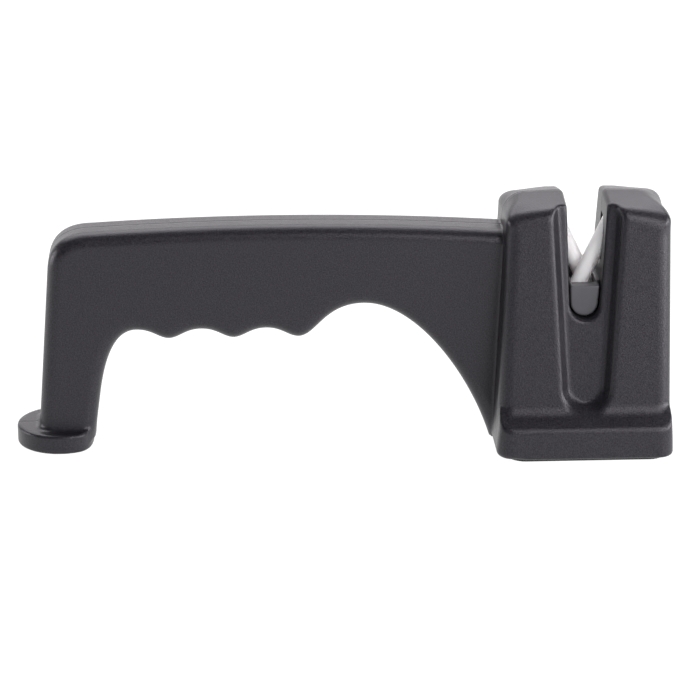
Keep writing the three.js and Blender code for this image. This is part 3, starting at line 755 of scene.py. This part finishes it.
def add_node(tree, kind, **settings):
    """A node whose own settings, or else the inputs of those names, are set."""
    node = tree.nodes.new(kind)
    for key, value in settings.items():
        if hasattr(node, key):
            setattr(node, key, value)
        else:
            node.inputs[key.replace("_", " ").title()].default_value = value
    return node


def object_noise(tree, scale, detail=2.0, roughness=0.5):
    place = add_node(tree, "ShaderNodeTexCoord")
    noise = add_node(tree, "ShaderNodeTexNoise", scale=scale, detail=detail, roughness=roughness)
    tree.links.new(place.outputs["Object"], noise.inputs["Vector"])
    return noise.outputs["Fac"]


def between(tree, source, low, high):
    """A value that runs from low to high with a noise."""
    node = add_node(
        tree, "ShaderNodeMapRange", from_min=NOISE_LOW, from_max=NOISE_HIGH, to_min=low, to_max=high
    )
    tree.links.new(source, node.inputs["Value"])
    return node.outputs["Result"]


def colour_between(tree, source, low, high):
    """A colour that runs from low to high with a noise."""
    ramp = add_node(tree, "ShaderNodeValToRGB")
    first, last = ramp.color_ramp.elements
    first.position, last.position = NOISE_LOW, NOISE_HIGH
    first.color, last.color = (*low, 1), (*high, 1)
    tree.links.new(source, ramp.inputs["Fac"])
    return ramp.outputs["Color"]


def mottle(tree, shader, source, dark, light, smooth, rough):
    """Base colour and roughness that follow one noise."""
    tree.links.new(colour_between(tree, source, dark, light), shader.inputs["Base Color"])
    tree.links.new(between(tree, source, smooth, rough), shader.inputs["Roughness"])


def bump(tree, shader, height, strength, distance):
    node = add_node(tree, "ShaderNodeBump", strength=strength, distance=distance)
    tree.links.new(height, node.inputs["Height"])
    tree.links.new(node.outputs["Normal"], shader.inputs["Normal"])


# Materials

def grained_plastic():
    """Charcoal plastic with the fine grain of a spark-eroded mould."""
    material, tree, shader = new_material("grained_charcoal_plastic")
    grain = object_noise(tree, scale=2400, roughness=0.6)
    dark, light = (0.004, 0.0037, 0.005), (0.0235, 0.0221, 0.0271)
    mottle(tree, shader, grain, dark, light, smooth=0.3, rough=0.4)
    shader.inputs["Specular IOR Level"].default_value = 0.355
    shader.inputs["Specular Tint"].default_value = (1.0, 0.975, 1.04, 1)
    bump(tree, shader, grain, strength=1.0, distance=0.00007)
    return material


def satin_plastic():
    """The holder's smoother grey plastic."""
    material, tree, shader = new_material("satin_grey_plastic")
    cloud = object_noise(tree, scale=260, detail=3.0)
    dark, light = (0.05, 0.049, 0.056), (0.062, 0.061, 0.069)
    mottle(tree, shader, cloud, dark, light, smooth=0.38, rough=0.5)
    bump(tree, shader, object_noise(tree, scale=3000), strength=0.15, distance=0.00004)
    return material


def ground_ceramic():
    """Unglazed ceramic, warm white, ground round."""
    material, tree, shader = new_material("ground_white_ceramic")
    cloud = object_noise(tree, scale=320, detail=3.0, roughness=0.55)
    dark, light = (0.95, 0.925, 0.925), (0.98, 0.96, 0.96)
    mottle(tree, shader, cloud, dark, light, smooth=0.45, rough=0.6)
    shader.inputs["Subsurface Weight"].default_value = 0.85
    shader.inputs["Subsurface Radius"].default_value = (1.0, 0.95, 0.95)
    shader.inputs["Subsurface Scale"].default_value = 0.002
    bump(tree, shader, object_noise(tree, scale=5000), strength=0.2, distance=0.00003)
    return material


def matt_rubber():
    """Black rubber of the non-slip pads."""
    material, tree, shader = new_material("matt_black_rubber")
    grain = object_noise(tree, scale=2600)
    dark, light = (0.014, 0.014, 0.015), (0.022, 0.022, 0.023)
    mottle(tree, shader, grain, dark, light, smooth=0.72, rough=0.88)
    bump(tree, shader, grain, strength=0.4, distance=0.00008)
    return material


def zinc_steel():
    """Steel of the screws, slightly clouded by its zinc."""
    material, tree, shader = new_material("zinc_plated_steel")
    shader.inputs["Metallic"].default_value = 1.0
    cloud = object_noise(tree, scale=900, detail=3.0)
    dark, light = (0.46, 0.46, 0.45), (0.6, 0.6, 0.58)
    mottle(tree, shader, cloud, dark, light, smooth=0.28, rough=0.42)
    return material


# Pieces

def finish_piece(piece, slot, body, *nodes):
    """Hides the nodes that a piece stands for and attaches the piece to its body. The slot is not used.
    """
    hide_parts(*nodes)
    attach(piece, body)


def shells(material):
    low, high = in_mm(CAD_BOX)
    halves = (
        ("front_housing", front_body, -1, "front_shell"),
        ("rear_housing", rear_body, 1, "rear_shell"),
    )
    for name, form, side, node in halves:
        piece = half_mesh(name, form, low, high, side, SHELL_CELL)
        piece.data.materials.append(material)
        finish_piece(piece, "body_plastic", "body", node)


def holder(material):
    low, high = in_mm(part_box("rod_holder"))
    piece = net_mesh("rod_holder_block", holder_form, low, high, FINE_CELL)
    piece.data.materials.append(material)
    finish_piece(piece, "holder_plastic", "body", "rod_holder")


def pads(material):
    for node, plan in (("base_pad", base_pad_plan), ("foot_pad", foot_pad_plan)):
        low, high = in_mm(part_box(node))
        form = pad_form(plan, float(low[2]), float(high[2]))
        piece = net_mesh(node + "_sheet", form, low, high, FINE_CELL)
        piece.data.materials.append(material)
        finish_piece(piece, "pad_rubber", "body", node)


def rod_profile():
    """Radius and place along the rod, with a round at each end."""
    edge = ROD_END_EDGE
    inner = ROD_RADIUS - edge
    angles = np.linspace(0, math.pi / 2, ROD_END_STEPS + 1)
    foot = [(inner + edge * math.sin(a), ROD_FOOT + edge * (1 - math.cos(a))) for a in angles]
    tip = [(inner + edge * math.cos(a), ROD_TIP - edge * (1 - math.sin(a))) for a in angles]
    rings = np.linspace(foot[-1][1], tip[0][1], ROD_RINGS + 1)[1:-1]
    return foot + [(ROD_RADIUS, z) for z in rings] + tip


def rod(name, node, body, joint, material):
    """A rod turned about its joint's axis."""
    axis = Vector(joint["axis"]).normalized()
    across = Vector((0, 1, 0))
    third = axis.cross(across)
    centre = Vector(joint["pos_m"])
    points, faces = [], []
    profile = rod_profile()
    for radius, along in profile:
        for i in range(ROD_SEGMENTS):
            turn = 2 * math.pi * i / ROD_SEGMENTS
            out = across * math.cos(turn) + third * math.sin(turn)
            points.append(centre + axis * along * MM + out * radius * MM)
    for row in range(len(profile) - 1):
        start = row * ROD_SEGMENTS
        for i in range(ROD_SEGMENTS):
            a, b = start + i, start + (i + 1) % ROD_SEGMENTS
            faces.append((a, a + ROD_SEGMENTS, b + ROD_SEGMENTS, b))
    faces.append(tuple(range(ROD_SEGMENTS)))
    faces.append(tuple(reversed(range(len(points) - ROD_SEGMENTS, len(points)))))
    mesh = bpy.data.meshes.new(name)
    mesh.from_pydata(points, [], faces)
    mesh.polygons.foreach_set("use_smooth", np.ones(len(faces), bool))
    mesh.update()
    mesh.materials.append(material)
    finish_piece(link_object(name, mesh), "rod_ceramic", body, node)


def rods(material):
    joints = {joint["name"]: joint for joint in frame["record"]["behaviour"]["joints"]}
    rod("front_ceramic_rod", "ceramic_rod_front", "front_rod", joints["front_rod_turn"], material)
    rod("rear_ceramic_rod", "ceramic_rod_rear", "rear_rod", joints["rear_rod_turn"], material)


class TreeBuilder:
    """Nodes of a geometry tree, with its inputs given by name."""

    def __init__(self, name):
        self.tree = bpy.data.node_groups.new(name, "GeometryNodeTree")
        self.inputs = {}
        self.source = None

    def add_input(self, name, kind):
        socket = self.tree.interface.new_socket(name, in_out="INPUT", socket_type=kind)
        self.inputs[name] = socket.identifier

    def get(self, name):
        if self.source is None:
            self.source = self.tree.nodes.new("NodeGroupInput")
        return self.source.outputs[name]

    def feed(self, socket, value):
        """Links a socket to another one, or sets its value."""
        if isinstance(value, bpy.types.NodeSocket):
            self.tree.links.new(value, socket)
        else:
            socket.default_value = value

    def node(self, kind, settings=None, **values):
        """A node with settings of its own, and values or links for its inputs."""
        made = self.tree.nodes.new(kind)
        for key, value in (settings or {}).items():
            setattr(made, key, value)
        for key, value in values.items():
            self.feed(made.inputs[key.replace("_", " ")], value)
        return made

    def join(self, *parts):
        made = self.tree.nodes.new("GeometryNodeJoinGeometry")
        for part in parts:
            self.tree.links.new(part, made.inputs["Geometry"])
        return made.outputs["Geometry"]

    def maths(self, operation, first, second):
        made = self.tree.nodes.new("ShaderNodeMath")
        made.operation = operation
        for value, socket in zip((first, second), made.inputs):
            self.feed(socket, value)
        return made.outputs["Value"]

    def vector(self, **parts):
        return self.node("ShaderNodeCombineXYZ", **parts).outputs["Vector"]

    def moved(self, geometry, **places):
        return self.node("GeometryNodeTransform", Geometry=geometry, **places).outputs["Geometry"]


def screw_head(build):
    """A domed head, flat underneath, with a cross cut into it."""
    radius, height = build.get("Head Radius"), build.get("Head Height")
    segments, rings = SCREW_HEAD_SEGMENTS, SCREW_HEAD_SEGMENTS // 2
    ball = build.node(
        "GeometryNodeMeshUVSphere", Segments=segments, Rings=rings, Radius=1.0
    ).outputs["Mesh"]
    dome = build.moved(ball, Scale=build.vector(X=radius, Y=radius, Z=height))
    position = build.node("GeometryNodeInputPosition").outputs["Position"]
    place = build.node("ShaderNodeSeparateXYZ", Vector=position).outputs
    lifted = build.maths("MAXIMUM", place["Z"], 0.0)
    flat = build.vector(X=place["X"], Y=place["Y"], Z=lifted)
    dome = build.node("GeometryNodeSetPosition", Geometry=dome, Position=flat).outputs["Geometry"]
    width, length = build.get("Recess Width"), build.get("Recess Length")
    depth = build.maths("MULTIPLY", build.get("Recess Depth"), 2.0)  # half of it is over the head
    cut = build.tree.nodes.new("GeometryNodeMeshBoolean")
    cut.operation = "DIFFERENCE"
    build.tree.links.new(dome, cut.inputs["Mesh 1"])
    for x, y in ((width, length), (length, width)):
        bar = build.node("GeometryNodeMeshCube", Size=build.vector(X=x, Y=y, Z=depth)).outputs["Mesh"]
        build.tree.links.new(build.moved(bar, Translation=build.vector(Z=height)), cut.inputs["Mesh 2"])
    return cut.outputs["Mesh"]


def screw_shank(build):
    """A round shank under the head, down to a blunt point."""
    radius, length = build.get("Shank Radius"), build.get("Shank Length")
    point = build.maths("MULTIPLY", radius, SCREW_TAPER)
    straight = build.maths("SUBTRACT", length, point)
    bar = build.node(
        "GeometryNodeMeshCylinder", Vertices=SCREW_SHANK_SEGMENTS, Radius=radius, Depth=straight
    ).outputs["Mesh"]
    bar = build.moved(bar, Translation=build.vector(Z=build.maths("MULTIPLY", straight, -0.5)))
    tip = build.node(
        "GeometryNodeMeshCone", Vertices=SCREW_SHANK_SEGMENTS, Radius_Top=radius,
        Radius_Bottom=SCREW_POINT * MM, Depth=point,
    ).outputs["Mesh"]
    tip = build.moved(tip, Translation=build.vector(Z=build.maths("MULTIPLY", length, -1.0)))
    return build.join(bar, tip)


def shaded(build, geometry):
    """Smooth shading that leaves steep edges sharp."""
    smooth = build.node("GeometryNodeSetShadeSmooth", Geometry=geometry, Shade_Smooth=True)
    angle = build.node("GeometryNodeInputMeshEdgeAngle").outputs["Unsigned Angle"]
    sharp = build.maths("GREATER_THAN", angle, SCREW_SHARP_ANGLE)
    return build.node(
        "GeometryNodeSetShadeSmooth", {"domain": "EDGE"},
        Geometry=smooth.outputs["Geometry"], Selection=sharp, Shade_Smooth=False,
    ).outputs["Geometry"]


def screw_tree():
    """Screws on the points of a mesh, heads towards the rear, each turned a little differently."""
    build = TreeBuilder("pan_head_screws")
    build.add_input("Geometry", "NodeSocketGeometry")
    for name in SCREW_SIZES:
        build.add_input(name, "NodeSocketFloat")
    build.add_input("Material", "NodeSocketMaterial")
    build.tree.interface.new_socket("Geometry", in_out="OUTPUT", socket_type="NodeSocketGeometry")
    screw = build.moved(build.join(screw_head(build), screw_shank(build)), Rotation=(-math.pi / 2, 0, 0))
    turn = build.node("FunctionNodeRandomValue", {"data_type": "FLOAT"}, Seed=SCREW_SEED)
    most, number = turn.inputs[3], turn.outputs[1]  # the sockets for single numbers
    most.default_value = SCREW_TURN
    placed = build.node(
        "GeometryNodeInstanceOnPoints", Points=build.get("Geometry"), Instance=screw,
        Rotation=build.vector(Y=number),
    )
    real = build.node("GeometryNodeRealizeInstances", Geometry=placed.outputs["Instances"])
    crisp = shaded(build, real.outputs["Geometry"])
    done = build.node("GeometryNodeSetMaterial", Geometry=crisp, Material=build.get("Material"))
    out = build.tree.nodes.new("NodeGroupOutput")
    build.tree.links.new(done.outputs["Geometry"], out.inputs["Geometry"])
    return build


def screws(material):
    seats = [(x, rear - SCREW_HEAD_HEIGHT, z) for x, rear, z in SCREWS]
    mesh = bpy.data.meshes.new("housing_screws")
    mesh.from_pydata((np.array(seats) * MM).tolist(), [], [])
    piece = link_object("housing_screws", mesh)
    build = screw_tree()
    modifier = piece.modifiers.new("screws", "NODES")
    modifier.node_group = build.tree
    for name, size in SCREW_SIZES.items():
        modifier[build.inputs[name]] = size * MM
    modifier[build.inputs["Material"]] = material
    depsgraph = bpy.context.evaluated_depsgraph_get()
    made = bpy.data.meshes.new_from_object(piece.evaluated_get(depsgraph))
    piece.modifiers.remove(modifier)
    piece.data = made
    finish_piece(piece, "screw_steel", "body", *SCREW_NODES)


# Stage, light and camera

# The camera, in millimetres
CAMERA_YAW = math.radians(2.9)
CAMERA_ELEVATION = math.radians(19.5)
CAMERA_DISTANCE = 875.0
CAMERA_TARGET = Vector((2.68, 0.0, 27.74))
PIXELS_PER_MM = 3.25
IMAGE_SIDE = 700
SENSOR = 36.0

# Floor and lights, in metres
FLOOR_REACH = 6.0
FLOOR_DROP = 0.0002  # keeps the floor just clear of the pads
LIGHT_TINT = (1.0, 0.98, 1.0)
WORLD_STRENGTH = 0.05
AT_HEAD = (0.05, 0, 0.04)
AT_LEG = (-0.05, 0, 0.02)

# Name, place, target, width, height, radiance, and whether smooth surfaces mirror it
SOFTBOXES = [
    ("back_softbox", (0.0, 1.15, 1.2), AT_HEAD, 2.4, 0.9, 1.9, True),
    ("backdrop", (0.0, 2.4, 0.55), (0, 0, 0.55), 5.0, 0.9, 1.9, True),
    ("top_softbox", (0.0, 0.85, 1.4), (0, 0.85, 0), 2.4, 1.3, 3.2, True),
    ("right_softbox", (1.1, -0.15, 0.3), AT_HEAD, 0.7, 0.6, 8.0, True),
    ("low_right_softbox", (0.9, -0.45, 0.14), AT_HEAD, 0.4, 0.24, 9.0, True),
    ("left_softbox", (-1.0, 0.15, 0.16), AT_LEG, 0.5, 0.3, 8.0, True),
    ("key_softbox", (0.42, -0.6, 0.22), AT_HEAD, 0.36, 0.26, 6.0, True),
    ("high_right_softbox", (0.42, -0.9, 0.68), AT_HEAD, 0.4, 0.35, 8.0, True),
    ("front_softbox", (0.12, -1.0, 0.8), AT_HEAD, 0.9, 0.45, 3.6, False),
]


def camera():
    data = bpy.data.cameras.new("camera")
    data.sensor_width = SENSOR
    data.lens = PIXELS_PER_MM * CAMERA_DISTANCE / IMAGE_SIDE * SENSOR
    data.clip_start = 0.05
    data.clip_end = 50
    forward = Vector((
        math.sin(CAMERA_YAW) * math.cos(CAMERA_ELEVATION),
        math.cos(CAMERA_YAW) * math.cos(CAMERA_ELEVATION),
        -math.sin(CAMERA_ELEVATION),
    ))
    right = Vector((math.cos(CAMERA_YAW), -math.sin(CAMERA_YAW), 0))
    up = right.cross(forward)
    turn = Matrix((right, up, -forward)).transposed().to_4x4()
    obj = link_object("camera", data)
    obj.matrix_world = Matrix.Translation((CAMERA_TARGET - forward * CAMERA_DISTANCE) * MM) @ turn
    bpy.context.scene.camera = obj


def floor():
    """A white table that shines evenly, and can be seen through from below."""
    mesh = bpy.data.meshes.new("floor")
    signs = ((-1, -1), (1, -1), (1, 1), (-1, 1))
    corners = [(x * FLOOR_REACH, y * FLOOR_REACH, -FLOOR_DROP) for x, y in signs]
    mesh.from_pydata(corners, [], [(0, 1, 2, 3)])
    obj = link_object("floor", mesh)
    material, tree, shader = new_material("white_floor")
    shader.inputs["Base Color"].default_value = (0.1, 0.1, 0.1, 1)
    shader.inputs["Roughness"].default_value = 1.0
    shader.inputs["Emission Color"].default_value = (1, 1, 1, 1)
    shader.inputs["Emission Strength"].default_value = 1.0
    facing = add_node(tree, "ShaderNodeNewGeometry")
    clear = add_node(tree, "ShaderNodeBsdfTransparent")
    mix = add_node(tree, "ShaderNodeMixShader")
    tree.links.new(facing.outputs["Backfacing"], mix.inputs[0])
    tree.links.new(shader.outputs["BSDF"], mix.inputs[1])
    tree.links.new(clear.outputs["BSDF"], mix.inputs[2])
    tree.links.new(mix.outputs["Shader"], tree.nodes["Material Output"].inputs["Surface"])
    obj.data.materials.append(material)


def softbox(name, place, target, width, height, radiance, mirrored):
    """A flat light of even radiance that faces its target."""
    data = bpy.data.lights.new(name, "AREA")
    data.shape = "RECTANGLE"
    data.size, data.size_y = width, height
    data.energy = radiance * math.pi * width * height
    data.color = LIGHT_TINT
    obj = link_object(name, data)
    obj.location = place
    obj.rotation_euler = (Vector(target) - Vector(place)).to_track_quat("-Z", "Y").to_euler()
    obj.visible_glossy = mirrored


def lights():
    world = bpy.data.worlds.new("studio")
    world.use_nodes = True
    background = world.node_tree.nodes["Background"]
    background.inputs["Color"].default_value = (1, 1, 1, 1)
    background.inputs["Strength"].default_value = WORLD_STRENGTH
    bpy.context.scene.world = world
    for box in SOFTBOXES:
        softbox(*box)
    bpy.context.scene.view_settings.view_transform = "Standard"


def main():
    camera()
    floor()
    lights()
    shells(grained_plastic())
    holder(satin_plastic())
    rods(ground_ceramic())
    pads(matt_rubber())
    screws(zinc_steel())


main()
